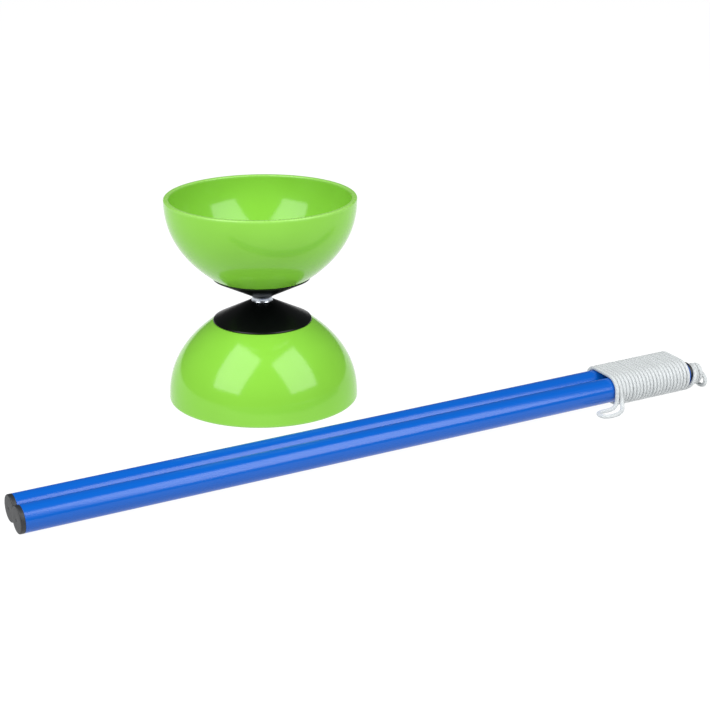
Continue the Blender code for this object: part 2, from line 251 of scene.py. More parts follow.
def sweep(
    name: str, route: np.ndarray, radius: float, sides: int, plait: float, lobes: int
) -> bpy.types.Object:
    """Make a cord along a route, with the shallow bumps of its plait.

    Args:
        name: The piece's name.
        route: Points along the cord's middle, in metres.
        radius: The cord's radius.
        sides: How many corners each ring has.
        plait: The length of one bump along the cord.
        lobes: How many bumps there are round it.

    Returns:
        A closed tube, whose UV map is parts of a turn by metres along the cord.
    """
    count = len(route)
    along = np.gradient(route, axis=0)
    along /= np.linalg.norm(along, axis=1)[:, None]
    lengths = np.concatenate([[0], np.cumsum(np.linalg.norm(np.diff(route, axis=0), axis=1))])
    guide = np.cross(along[0], (0.0, 0.0, 1.0))
    if np.linalg.norm(guide) < 0.1:
        guide = np.cross(along[0], (0.0, 1.0, 0.0))
    guides = np.empty_like(route)
    for i in range(count):
        guide = guide - along[i] * guide.dot(along[i])
        guide /= np.linalg.norm(guide)
        guides[i] = guide
    others = np.cross(along, guides)
    turns = math.tau * np.arange(sides) / sides
    bump = np.cos(math.tau * lengths / plait)[:, None] * np.cos(lobes * turns)[None, :]
    reach = radius * (1 + PLAIT_DEPTH * bump)
    ring = (
        guides[:, None, :] * np.cos(turns)[None, :, None]
        + others[:, None, :] * np.sin(turns)[None, :, None]
    )
    corners = (route[:, None, :] + ring * reach[:, :, None]).reshape(-1, 3)
    faces: list[tuple[int, ...]] = []
    uvs: list[float] = []
    for i in range(count - 1):
        for k in range(sides):
            n = (k + 1) % sides
            faces.append(
                (i * sides + k, i * sides + n, (i + 1) * sides + n, (i + 1) * sides + k)
            )
            left, right = k / sides, (k + 1) / sides
            low, high = lengths[i], lengths[i + 1]
            uvs.extend((left, low, right, low, right, high, left, high))
    for start, order in ((0, -1), ((count - 1) * sides, 1)):
        faces.append(tuple(start + k for k in range(sides))[::order])
        uvs.extend([0.0, lengths[start // sides]] * sides)
    mesh = bpy.data.meshes.new(name)
    mesh.from_pydata(corners.tolist(), [], faces)
    mesh.uv_layers.new(name="cord").data.foreach_set("uv", uvs)
    mesh.update()
    piece = bpy.data.objects.new(name, mesh)
    bpy.context.scene.collection.objects.link(piece)
    pick(piece)
    bpy.ops.object.shade_smooth_by_angle(angle=SMOOTH_ANGLE)
    return piece


# Finishes


def linear(hex_colour: str) -> tuple[float, float, float, float]:
    """The linear colour of an sRGB hex value."""
    channels = [int(hex_colour[i : i + 2], 16) / 255 for i in (0, 2, 4)]
    red, green, blue = (
        c / 12.92 if c <= 0.04045 else ((c + 0.055) / 1.055) ** 2.4 for c in channels
    )
    return red, green, blue, 1.0


def connect(node: bpy.types.Node, inputs: dict[str | int, object]) -> None:
    """Give a node's inputs their values, and link those that are given an output."""
    for key, value in inputs.items():
        if isinstance(value, bpy.types.NodeSocket):
            node.id_data.links.new(value, node.inputs[key])
        else:
            node.inputs[key].default_value = value


def put(
    tree: bpy.types.NodeTree,
    kind: str,
    settings: dict[str, object] | None = None,
    inputs: dict[str | int, object] | None = None,
) -> bpy.types.Node:
    """Add a node.

    Args:
        tree: The material's node tree.
        kind: The node's type.
        settings: Its own settings by name.
        inputs: For each of its inputs, a value, or the output to link to it.

    Returns:
        The node.
    """
    node = tree.nodes.new(kind)
    for key, value in (settings or {}).items():
        setattr(node, key, value)
    connect(node, inputs or {})
    return node


def new_material(name: str) -> tuple[bpy.types.Material, bpy.types.Node]:
    """An empty material with its shader.

    Args:
        name: The material's name.

    Returns:
        The material, and its shader node, already linked to the output.
    """
    material = bpy.data.materials.new(name)
    material.use_nodes = True
    tree = material.node_tree
    tree.nodes.clear()
    shader = put(tree, "ShaderNodeBsdfPrincipled")
    put(tree, "ShaderNodeOutputMaterial", inputs={"Surface": shader.outputs["BSDF"]})
    return material, shader


def wear_it(piece: bpy.types.Object, material: bpy.types.Material) -> None:
    """Give a piece its one material."""
    piece.data.materials.clear()
    piece.data.materials.append(material)


@dataclass(frozen=True)
class Skin:
    """What moulding leaves on a plastic, as outputs to build its material on."""

    place: bpy.types.NodeSocket
    grain: bpy.types.NodeSocket
    colour: bpy.types.NodeSocket
    normal: bpy.types.NodeSocket


@dataclass(frozen=True, kw_only=True)
class MouldedPlastic:
    """An injection-moulded plastic, whose surface is a print of the mould's steel."""

    name: str
    colour: str
    thin_colour: str  # where the pigment is a little thinner
    roughness: float
    scuffed_roughness: float
    scuffs: tuple[float, float] = (0.35, 0.75)  # the grain's values from untouched to scuffed
    swell_mm: float  # between the slow swells left as the plastic shrinks
    swell_depth_mm: float
    swell_detail: float = 2.0
    grain_mm: float
    grain_depth_mm: float
    grain_detail: float = 3.0
    ior: float = 1.5
    gloss: float = 0.5
    scatter: float = 0.0  # share of the light that passes below the surface
    scatter_mm: float = 1.0

    def skin(self, tree: bpy.types.NodeTree) -> Skin:
        """Lay the slow swells and the mould's grain over a piece."""
        place = put(tree, "ShaderNodeTexCoord").outputs["Object"]
        swell, grain = (
            put(
                tree,
                "ShaderNodeTexNoise",
                inputs={"Vector": place, "Scale": 1 / (gap * MM), "Detail": detail},
            ).outputs["Fac"]
            for gap, detail in (
                (self.swell_mm, self.swell_detail),
                (self.grain_mm, self.grain_detail),
            )
        )
        colour = put(
            tree,
            "ShaderNodeMix",
            {"data_type": "RGBA"},
            {0: swell, 6: linear(self.colour), 7: linear(self.thin_colour)},
        )
        slow = put(
            tree,
            "ShaderNodeBump",
            inputs={"Height": swell, "Distance": self.swell_depth_mm * MM},
        )
        fine = put(
            tree,
            "ShaderNodeBump",
            inputs={
                "Height": grain,
                "Distance": self.grain_depth_mm * MM,
                "Normal": slow.outputs["Normal"],
            },
        )
        return Skin(place, grain, colour.outputs[2], fine.outputs["Normal"])

    def material(self) -> bpy.types.Material:
        """The finished material."""
        material, shader = new_material(self.name)
        skin = self.skin(material.node_tree)
        scuff = put(
            material.node_tree,
            "ShaderNodeMapRange",
            inputs={
                "Value": skin.grain,
                "From Min": self.scuffs[0],
                "From Max": self.scuffs[1],
                "To Min": self.roughness,
                "To Max": self.scuffed_roughness,
            },
        )
        connect(
            shader,
            {
                "Base Color": skin.colour,
                "Roughness": scuff.outputs["Result"],
                "Normal": skin.normal,
                "IOR": self.ior,
                "Specular IOR Level": self.gloss,
                "Subsurface Weight": self.scatter,
                "Subsurface Scale": self.scatter_mm * MM,
            },
        )
        return material


@dataclass(frozen=True, kw_only=True)
class CupPlastic(MouldedPlastic):
    """Glossy soft PVC, moulded: even colour, clear reflections, and a rim rubbed by the floor."""

    spool_height: float  # from one rim to the other
    name: str = "moulded_green_pvc"
    colour: str = "7BBB38"
    thin_colour: str = "80C13E"
    rim_colour: str = "9ACB70"  # rubbed paler
    roughness: float = 0.13
    scuffed_roughness: float = 0.42
    gloss: float = 0.33  # plasticised PVC reflects less than a hard plastic
    swell_mm: float = 17.0
    swell_depth_mm: float = 0.03
    swell_detail: float = 1.0
    grain_mm: float = 0.7
    grain_depth_mm: float = 0.0012
    grain_detail: float = 4.0
    rim_wear_mm: float = 1.6

    def material(self) -> bpy.types.Material:
        """The finished material, rubbed near both rims."""
        material, shader = new_material(self.name)
        tree = material.node_tree
        skin = self.skin(tree)
        height = put(tree, "ShaderNodeSeparateXYZ", inputs={0: skin.place}).outputs["Z"]
        from_rim = put(
            tree,
            "ShaderNodeMath",
            {"operation": "PINGPONG"},
            {0: height, 1: self.spool_height / 2},
        )
        nearness = put(
            tree,
            "ShaderNodeMapRange",
            {"interpolation_type": "SMOOTHSTEP"},
            {
                "Value": from_rim.outputs[0],
                "From Min": 0.0,
                "From Max": self.rim_wear_mm * MM,
                "To Min": 1.0,
                "To Max": 0.0,
            },
        )
        rubbed = put(
            tree,
            "ShaderNodeMath",
            {"operation": "MULTIPLY"},
            {0: nearness.outputs["Result"], 1: skin.grain},
        ).outputs[0]
        colour = put(
            tree,
            "ShaderNodeMix",
            {"data_type": "RGBA"},
            {0: rubbed, 6: skin.colour, 7: linear(self.rim_colour)},
        )
        dulled = put(
            tree,
            "ShaderNodeMapRange",
            inputs={"Value": rubbed, "To Min": self.roughness, "To Max": self.scuffed_roughness},
        )
        connect(
            shader,
            {
                "Base Color": colour.outputs[2],
                "Roughness": dulled.outputs["Result"],
                "Normal": skin.normal,
                "IOR": self.ior,
                "Specular IOR Level": self.gloss,
            },
        )
        return material


@dataclass(frozen=True)
class StretchedFinish:
    """A surface whose marks are drawn out one way: die lines along a tube, or turning marks."""

    name: str
    colour: str
    streak_colour: str
    roughness: float
    streak_roughness: float
    line_mm: tuple[float, float, float]  # how far apart the marks are along X, Y and Z
    line_depth_mm: float
    line_detail: float = 3.0
    streaks: tuple[float, float] = (0.3, 0.7)  # the lines' values from smooth to streaked
    gloss: float = 0.5
    metallic: float = 0.0

    def material(self) -> bpy.types.Material:
        """The finished material."""
        material, shader = new_material(self.name)
        tree = material.node_tree
        place = put(tree, "ShaderNodeTexCoord").outputs["Object"]
        drawn_out = put(
            tree,
            "ShaderNodeMapping",
            inputs={"Vector": place, "Scale": tuple(1 / (gap * MM) for gap in self.line_mm)},
        )
        lines = put(
            tree,
            "ShaderNodeTexNoise",
            inputs={"Vector": drawn_out.outputs[0], "Scale": 1.0, "Detail": self.line_detail},
        ).outputs["Fac"]
        colour = put(
            tree,
            "ShaderNodeMix",
            {"data_type": "RGBA"},
            {0: lines, 6: linear(self.colour), 7: linear(self.streak_colour)},
        )
        sheen = put(
            tree,
            "ShaderNodeMapRange",
            inputs={
                "Value": lines,
                "From Min": self.streaks[0],
                "From Max": self.streaks[1],
                "To Min": self.roughness,
                "To Max": self.streak_roughness,
            },
        )
        bump = put(
            tree,
            "ShaderNodeBump",
            inputs={"Height": lines, "Distance": self.line_depth_mm * MM},
        )
        connect(
            shader,
            {
                "Base Color": colour.outputs[2],
                "Roughness": sheen.outputs["Result"],
                "Normal": bump.outputs["Normal"],
                "Specular IOR Level": self.gloss,
                "Metallic": self.metallic,
            },
        )
        return material


@dataclass(frozen=True)
class BraidedCord:
    """White polyester yarns, braided round a core: matt, with the small diamonds of the braid and
    painted shade down between the yarns.
    """

    name: str = "braided_white_polyester"
    yarn: str = "D3D7D7"
    # Painted shade: the darker colour down between the yarns.
    painted_shade_between_yarns: str = "979CA0"  # down between the yarns
    yarns: int = 8  # each way round the cord
    roughness: float = 0.62
    depth_mm: float = 0.09
    fuzz: float = 0.25  # the pale edge that loose fibres give
    fuzz_roughness: float = 0.5
    scatter: float = 0.25  # light that passes between the fibres, the same in every colour
    scatter_mm: float = 0.8

    def material(self, plait: float) -> bpy.types.Material:
        """The finished material.

        Args:
            plait: How far along the cord one yarn's cell is, in metres.

        Returns:
            The material, whose pattern follows the cord's own UV map.
        """
        material, shader = new_material(self.name)
        tree = material.node_tree
        uv = put(tree, "ShaderNodeUVMap", {"uv_map": "cord"}).outputs["UV"]
        split = put(tree, "ShaderNodeSeparateXYZ", inputs={0: uv}).outputs
        around, along = (
            put(tree, "ShaderNodeMath", {"operation": operation}, {0: part, 1: by}).outputs[0]
            for operation, part, by in (
                ("MULTIPLY", split[0], self.yarns),
                ("DIVIDE", split[1], plait),
            )
        )
        # Each way round, a yarn is a rounded ridge, and the two ways pass over each other in turn.
        ridges, cells = [], []
        for operation in ("ADD", "SUBTRACT"):
            across = put(
                tree, "ShaderNodeMath", {"operation": operation}, {0: around, 1: along}
            ).outputs[0]
            cells.append(
                put(tree, "ShaderNodeMath", {"operation": "FLOOR"}, {0: across}).outputs[0]
            )
            ridge = put(
                tree, "ShaderNodeMath", {"operation": "MULTIPLY"}, {0: across, 1: math.pi}
            ).outputs[0]
            for shape in ("SINE", "ABSOLUTE"):
                ridge = put(tree, "ShaderNodeMath", {"operation": shape}, {0: ridge}).outputs[0]
            ridges.append(ridge)
        both = put(
            tree, "ShaderNodeMath", {"operation": "ADD"}, {0: cells[0], 1: cells[1]}
        ).outputs[0]
        over = put(
            tree, "ShaderNodeMath", {"operation": "PINGPONG"}, {0: both, 1: 1.0}
        ).outputs[0]
        height = put(
            tree,
            "ShaderNodeMix",
            {"data_type": "FLOAT"},
            {0: over, 2: ridges[0], 3: ridges[1]},
        ).outputs[0]
        # The colour falls to painted shade where the height drops between the yarns.
        colour = put(
            tree,
            "ShaderNodeMix",
            {"data_type": "RGBA"},
            {0: height, 6: linear(self.painted_shade_between_yarns), 7: linear(self.yarn)},
        )
        bump = put(
            tree,
            "ShaderNodeBump",
            inputs={"Height": height, "Distance": self.depth_mm * MM},
        )
        connect(
            shader,
            {
                "Base Color": colour.outputs[2],
                "Normal": bump.outputs["Normal"],
                "Roughness": self.roughness,
                "Sheen Weight": self.fuzz,
                "Sheen Roughness": self.fuzz_roughness,
                "Subsurface Weight": self.scatter,
                "Subsurface Radius": (1.0, 1.0, 1.0),
                "Subsurface Scale": self.scatter_mm * MM,
            },
        )
        return material


# Satin ABS: near black, with a broad grey sheen where it turns away from the light.
BLACK_ABS = MouldedPlastic(
    name="moulded_black_abs",
    colour="030504",
    thin_colour="060807",
    roughness=0.28,
    scuffed_roughness=0.38,
    gloss=0.2,
    swell_mm=9.0,
    swell_depth_mm=0.02,
    grain_mm=0.35,
    grain_depth_mm=0.003,
)
# Polyethylene plugs off a matt mould: a grey bloom in soft light, and a fine even grain.
BLACK_PE = MouldedPlastic(
    name="moulded_black_polyethylene",
    colour="1B1D1F",
    thin_colour="232527",
    roughness=0.46,
    scuffed_roughness=0.62,
    swell_mm=5.0,
    swell_depth_mm=0.02,
    grain_mm=0.4,
    grain_depth_mm=0.012,
)
# Undyed nylon: milky, with light inside it, and a soft shine.
NATURAL_NYLON = MouldedPlastic(
    name="moulded_natural_nylon",
    colour="DAD8CC",
    thin_colour="E4E2D8",
    roughness=0.38,
    scuffed_roughness=0.5,
    swell_mm=3.0,
    swell_depth_mm=0.01,
    grain_mm=0.3,
    grain_depth_mm=0.004,
    scatter=0.5,
    scatter_mm=0.8,
)
# Drawn aluminium tube under a glossy blue lacquer: long thin highlights, and the lines of
# the drawing die just showing through.
BLUE_TUBE = StretchedFinish(
    name="blue_lacquered_aluminium",
    colour="0352AE",
    streak_colour="0557B4",
    roughness=0.17,
    streak_roughness=0.25,
    line_mm=(120.0, 0.9, 0.9),
    line_depth_mm=0.006,
    gloss=0.36,
)
# Zinc plate on pressed and rolled steel: pale, cool, and a little cloudy.
ZINC_PLATE = StretchedFinish(
    name="zinc_plated_steel",
    colour="B4B9BF",
    streak_colour="C9CDD1",
    roughness=0.26,
    streak_roughness=0.4,
    line_mm=(1.6, 1.6, 1.6),
    line_depth_mm=0.006,
    metallic=1.0,
)
# Turned and polished by the string: bright, with fine rings round the axis.
POLISHED_STEEL = StretchedFinish(
    name="turned_polished_steel",
    colour="BCC2C9",
    streak_colour="CDD2D8",
    roughness=0.26,
    streak_roughness=0.36,
    line_mm=(60.0, 60.0, 0.25),
    line_depth_mm=0.002,
    metallic=1.0,
)


# The spool


@dataclass(frozen=True)
class SpoolPlace:
    """Where the spool stands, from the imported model."""

    axis: Vector
    height: float

    @classmethod
    def from_frame(cls) -> "SpoolPlace":
        """Read the axis from the rod and the height from the upper rim."""
        middle = box_middle("axle_rod")
        return cls(Vector((middle.x, middle.y, 0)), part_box("cup_upper")[1].z)

    def half(self, half: Half) -> Matrix:
        """Where a half's profile goes: heights are measured from that half's rim."""
        if half is Half.LOWER:
            return Matrix.Translation(self.axis)
        top = self.axis + Vector((0, 0, self.height))
        return Matrix.Translation(top) @ Matrix.Rotation(math.pi, 4, "X")


def both_halves(
    place: SpoolPlace, kind: str, suffix: str, build: Callable[[str, Matrix], bpy.types.Object]
) -> dict[Half, bpy.types.Object]:
    """Build a piece for each end of the spool.

    Args:
        place: Where the spool stands.
        kind: The first part of the CAD nodes' names.
        suffix: What the piece is called after its CAD node.
        build: Makes one piece from its name and its placement.

    Returns:
        The two pieces.
    """
    return {
        half: build(f"{kind}_{half.value}_{suffix}", place.half(half)) for half in Half
    }


@dataclass
class Cups:
    """The two moulded bowls, each on one curve from the rim to the flat end under its cone."""

    place: SpoolPlace
    rim_radius: float = 46.0 * MM
    wall: float = 2.6 * MM
    curve_height: float = 49.9 * MM  # where the curve would close on the axis
    height_power: float = 2.306
    radius_power: float = 1.254
    seat: float = 38.7 * MM  # height of the flat end above the rim
    rim_turn: float = 1.6 * MM  # below this height the wall runs into the rim's rounding
    rim_rounding: float = 0.9 * MM
    spigot_hole: float = 7.1 * MM
    floor_rounding: float = 2.4 * MM
    curve_points: int = 34
    steps: int = 160

    def outside_radius(self, height: float) -> float:
        """How wide the bowl is at a height above its rim."""
        part = (height / self.curve_height) ** self.height_power
        return self.rim_radius * (1 - part) ** (1 / self.radius_power)

    def profile(self) -> list[Corner]:
        """The wall's section: down the outside, round the rim and back up the inside."""
        outside = []
        for i in range(self.curve_points + 1):
            height = self.rim_turn + (self.seat - self.rim_turn) * math.sin(
                math.pi / 2 * i / self.curve_points
            )
            outside.append(Vector((self.outside_radius(height), height)))
        inside = []
        floor = self.seat - self.wall
        for i, point in enumerate(outside):
            along = outside[min(i + 1, self.curve_points)] - outside[max(i - 1, 0)]
            inner = point + Vector((-along.y, along.x)).normalized() * self.wall
            if inner.y < floor - self.rim_rounding:
                inside.append(inner)
        corners = [Corner(self.spigot_hole, self.seat, BROKEN_EDGE)]
        corners += [Corner(p.x, p.y) for p in reversed(outside)]
        corners.append(Corner(self.rim_radius, 0, self.rim_rounding))
        corners.append(Corner(inside[0].x, 0, self.rim_rounding))
        corners += [Corner(p.x, p.y) for p in inside]
        slope = (inside[-1] - inside[-2]).normalized()
        reach = (floor - inside[-1].y) / slope.y
        corners.append(Corner(inside[-1].x + slope.x * reach, floor, self.floor_rounding))
        corners.append(Corner(self.spigot_hole, floor, BROKEN_EDGE))
        return corners

    def build(self) -> dict[Half, bpy.types.Object]:
        """Turn both bowls."""
        return both_halves(
            self.place,
            "cup",
            "bowl",
            lambda name, where: turn(name, self.profile(), where, self.steps),
        )

    def dress(self, bowls: dict[Half, bpy.types.Object]) -> None:
        """Colour both bowls and hang them on the spool."""
        material = CupPlastic(spool_height=self.place.height).material()
        for half, bowl in bowls.items():
            wear_it(bowl, material)
            enter(bowl, Body.SPOOL, Slot.CUP_PLASTIC, f"cup_{half.value}")


@dataclass
class Cones:
    """The black cones that lead the string to the hub, each with a boss through its cup."""

    place: SpoolPlace
    base: float = 39.0 * MM
    tip: float = 48.4 * MM
    base_radius: float = 24.0 * MM
    tip_radius: float = 6.1 * MM
    edge: float = 0.6 * MM
    boss_radius: float = 7.0 * MM
    boss_end: float = 36.1 * MM
    hub_bore: float = 4.1 * MM
    hub_depth: float = 5.3 * MM
    rod_bore: float = 3.05 * MM
    steps: int = 128

    def profile(self) -> list[Corner]:
        """The cone's tip, its flank, the rounded edge of its base and its stepped bore."""
        step = self.tip - self.hub_depth
        return [
            Corner(self.hub_bore, self.tip, 0.15 * MM),
            Corner(self.tip_radius, self.tip, 0.15 * MM),
            Corner(self.base_radius - 0.3 * MM, self.base + self.edge, SOFT_EDGE),
            Corner(self.base_radius, self.base, FINE_EDGE),
            Corner(self.boss_radius, self.base),
            Corner(self.boss_radius, self.boss_end, BROKEN_EDGE),
            Corner(self.rod_bore, self.boss_end),
            Corner(self.rod_bore, step),
            Corner(self.hub_bore, step),
        ]

    def build(self) -> dict[Half, bpy.types.Object]:
        """Turn both cones."""
        return both_halves(
            self.place,
            "cone",
            "moulding",
            lambda name, where: turn(name, self.profile(), where, self.steps),
        )

    def dress(self, cones: dict[Half, bpy.types.Object]) -> None:
        """Colour both cones and hang them on the spool."""
        material = BLACK_ABS.material()
        for half, cone in cones.items():
            wear_it(cone, material)
            enter(cone, Body.SPOOL, Slot.BLACK_PLASTIC, f"cone_{half.value}")


@dataclass
class Axle:
    """The steel rod, the hub on it, and what clamps the cups: plates, washers and lock nuts."""

    place: SpoolPlace
    rod_radius: float = 3.0 * MM
    rod_end: float = 23.2 * MM
    thread_pitch: float = 1.0 * MM  # M6
    thread_depth: float = 0.5 * MM
    threaded: float = 11.0 * MM
    thread_flank: float = 0.42  # half a ridge's foot and half its crest, in parts of the pitch
    thread_crest: float = 0.07
    rod_chamfer: float = 0.5 * MM
    rod_slack: float = 0.1 * MM  # round the rod in the hub and the plates
    hub_radius: float = 5.2 * MM
    hub_waist: float = 4.9 * MM
    hub_half: float = 1.3 * MM
    sleeve_radius: float = 4.0 * MM
    sleeve_half: float = 6.6 * MM
    plate_top: float = 35.8 * MM
    plate_radius: float = 15.0 * MM
    plate_thickness: float = 2.8 * MM
    washer_top: float = 32.7 * MM
    washer_radius: float = 9.0 * MM
    washer_thickness: float = 1.2 * MM
    nut_top: float = 31.2 * MM
    nut_height: float = 6.0 * MM
    nut_flats: float = 10.0 * MM
    nut_collar: float = 1.5 * MM  # how far the round end that holds the nylon stands out
    recess_radius: float = 4.05 * MM
    recess_depth: float = 1.4 * MM
    steps: int = 72
    hub_steps: int = 96
    waist_points: int = 10

    def build_rod(self) -> bpy.types.Object:
        """The rod: a turned core, with a rolled thread wound on at each end."""
        middle = self.place.height / 2
        half = middle - self.rod_end
        root = self.rod_radius - self.thread_depth
        shank = half - self.threaded
        core = turn(
            "axle_rod_threaded",
            [
                Corner(0, middle + half),
                Corner(root - 0.25 * MM, middle + half, BROKEN_EDGE),
                Corner(root, middle + half - self.rod_chamfer),
                Corner(root, middle + shank),
                Corner(self.rod_radius, middle + shank - self.rod_chamfer),
                Corner(self.rod_radius, middle - shank + self.rod_chamfer),
                Corner(root, middle - shank),
                Corner(root, middle - half + self.rod_chamfer),
                Corner(root - 0.25 * MM, middle - half, BROKEN_EDGE),
                Corner(0, middle - half),
            ],
            Matrix.Translation(self.place.axis),
            self.steps,
            closed=False,
        )
        threads = [
            self.build_thread(start)
            for start in (middle - half + 0.7 * MM, middle + shank + 0.3 * MM)
        ]
        pick(core)
        for thread in threads:
            thread.select_set(True)
        bpy.ops.object.join()
        return core

    def build_thread(self, start: float) -> bpy.types.Object:
        """One ridge of thread, wound up the rod from a height."""
        turns = int((self.threaded - 1.4 * MM) / self.thread_pitch)
        root = self.rod_radius - self.thread_depth - 0.05 * MM
        flank = self.thread_flank * self.thread_pitch
        crest = self.thread_crest * self.thread_pitch
        thread = draw_section(
            [
                Vector((root, -flank)),
                Vector((self.rod_radius, -crest)),
                Vector((self.rod_radius, crest)),
                Vector((root, flank)),
            ]
        )
        bpy.ops.mesh.edge_face_add()
        bpy.ops.object.mode_set(mode="OBJECT")
        wind = thread.modifiers.new("wind", "SCREW")
        wind.axis = "Z"
        wind.angle = math.tau
        wind.screw_offset = self.thread_pitch
        wind.iterations = turns
        wind.steps = wind.render_steps = self.steps // 2
        bpy.ops.object.modifier_apply(modifier=wind.name)
        bpy.ops.object.mode_set(mode="EDIT")
        close_seams()
        settle(thread, Matrix.Translation(self.place.axis + Vector((0, 0, start))))
        return thread

    def build_hub(self) -> bpy.types.Object:
        """The plain bush that the string runs on: a waisted collar between two sleeves."""
        middle = self.place.height / 2
        bore = self.rod_radius + self.rod_slack
        waist = []
        for i in range(self.waist_points + 1):
            part = 1 - 2 * i / self.waist_points
            radius = self.hub_waist + (self.hub_radius - self.hub_waist) * part * part
            waist.append(Corner(radius, middle + self.hub_half * part))
        corners = [
            Corner(bore, middle + self.sleeve_half, 0.15 * MM),
            Corner(self.sleeve_radius, middle + self.sleeve_half, BROKEN_EDGE),
            Corner(self.sleeve_radius, middle + self.hub_half),
            *waist,
            Corner(self.sleeve_radius, middle - self.hub_half),
            Corner(self.sleeve_radius, middle - self.sleeve_half, BROKEN_EDGE),
            Corner(bore, middle - self.sleeve_half, 0.15 * MM),
        ]
        where = Matrix.Translation(self.place.axis)
        return turn("axle_hub_bush", corners, where, self.hub_steps)

    def build_plate(self, name: str, where: Matrix) -> bpy.types.Object:
        """A black plate that spreads the nut's grip over the cup's floor."""
        bore = self.rod_radius + self.rod_slack
        bottom = self.plate_top - self.plate_thickness
        return turn(
            name,
            [
                Corner(bore, self.plate_top),
                Corner(self.plate_radius, self.plate_top, BROKEN_EDGE),
                Corner(self.plate_radius, self.plate_top - 1.0 * MM, 0.8 * MM),
                Corner(self.plate_radius - 4.2 * MM, bottom, 1.5 * MM),
                Corner(bore, bottom, BROKEN_EDGE),
            ],
            where,
            self.steps,
        )

    def build_washer(self, name: str, where: Matrix) -> bpy.types.Object:
        """A pressed washer: rounded on the side the punch came from, sharp on the other."""
        bore = self.rod_radius + 0.2 * MM
        bottom = self.washer_top - self.washer_thickness
        return turn(
            name,
            [
                Corner(bore, self.washer_top, 0.08 * MM),
                Corner(self.washer_radius, self.washer_top, 0.08 * MM),
                Corner(self.washer_radius, bottom, 0.35 * MM),
                Corner(bore, bottom, SOFT_EDGE),
            ],
            where,
            self.steps,
        )

    def build_nut(self, name: str, where: Matrix) -> bpy.types.Object:
        """A lock nut: a hexagon with turned corners, and a round end that holds the nylon."""
        top, low = self.nut_top, self.nut_top - self.nut_height
        corner_radius = self.nut_flats / math.sqrt(3)
        collar_radius = self.nut_flats / 2 - 0.25 * MM
        shoulder = low + self.nut_collar
        recess = low + self.recess_depth
        blank = turn(
            "nut_blank",
            [
                Corner(self.rod_radius + 0.05 * MM, top, BROKEN_EDGE),
                Corner(self.nut_flats / 2 - 0.1 * MM, top),
                Corner(corner_radius + 0.2 * MM, top - 0.55 * MM),
                Corner(corner_radius + 0.2 * MM, shoulder + 0.55 * MM),
                Corner(collar_radius, shoulder, FINE_EDGE),
                Corner(collar_radius, low, 0.6 * MM),
                Corner(self.recess_radius, low, FINE_EDGE),
                Corner(self.recess_radius, recess),
                Corner(self.rod_radius + 0.05 * MM, recess),
            ],
            Matrix.Identity(4),
            self.steps,
        )
        deselect()
        bpy.ops.mesh.primitive_cylinder_add(
            vertices=6,
            radius=corner_radius,
            depth=self.nut_height + 2 * MM,
            location=(0, 0, (top + low) / 2),
        )
        nut = name_piece(bpy.context.object, name)
        bpy.ops.object.transform_apply(location=True)
        apply_boolean(nut, blank, "INTERSECT")
        settle(nut, where)
        return nut

    def build_insert(self, name: str, where: Matrix) -> bpy.types.Object:
        """The nylon ring that grips the thread."""
        low = self.nut_top - self.nut_height + 0.12 * MM
        high = self.nut_top - self.nut_height + self.recess_depth - 0.05 * MM
        return turn(
            name,
            [
                Corner(self.rod_radius + 0.02 * MM, high),
                Corner(self.recess_radius - 0.03 * MM, high),
                Corner(self.recess_radius - 0.03 * MM, low, FINE_EDGE),
                Corner(self.rod_radius + 0.02 * MM, low, 0.25 * MM),
            ],
            where,
            self.steps,
        )

    def dress(self) -> None:
        """Build every piece on the rod, colour it and hang it on its body."""
        zinc, polished = ZINC_PLATE.material(), POLISHED_STEEL.material()
        plastic, nylon = BLACK_ABS.material(), NATURAL_NYLON.material()
        rod = self.build_rod()
        wear_it(rod, zinc)
        enter(rod, Body.SPOOL, Slot.ZINC_STEEL, "axle_rod")
        hub = self.build_hub()
        wear_it(hub, polished)
        enter(hub, Body.HUB, Slot.POLISHED_STEEL, "axle_hub")
        for kind, suffix, build, material, slot in (
            ("clamp_plate", "moulding", self.build_plate, plastic, Slot.BLACK_PLASTIC),
            ("washer", "pressing", self.build_washer, zinc, Slot.ZINC_STEEL),
            ("lock_nut", "hexagon", self.build_nut, zinc, Slot.ZINC_STEEL),
            ("nut_insert", "ring", self.build_insert, nylon, Slot.NYLON),
        ):
            for half, piece in both_halves(self.place, kind, suffix, build).items():
                wear_it(piece, material)
                enter(piece, Body.SPOOL, slot, f"{kind}_{half.value}")


# The handsticks


@dataclass(frozen=True)
class StickPlace:
    """Where a handstick lies. Its places are along it from the grip, across it, and up."""

    origin: Vector
    pitch: float
    start: float = 0.0  # where along it the grip's face is

    def point(self, along: float, across: float, up: float) -> Vector:
        """A place on the stick in the row frame; all in metres."""
        lean, rise = math.cos(self.pitch), math.sin(self.pitch)
        return self.origin + Vector((along * lean - up * rise, across, along * rise + up * lean))

    @property
    def placement(self) -> Matrix:
        """Where a turned piece goes, with heights in its profile taken along the stick."""
        turned = Matrix.Rotation(math.pi / 2 - self.pitch, 4, "Y")
        slid = Matrix.Translation((0, 0, self.start))
        return Matrix.Translation(self.origin) @ turned @ slid


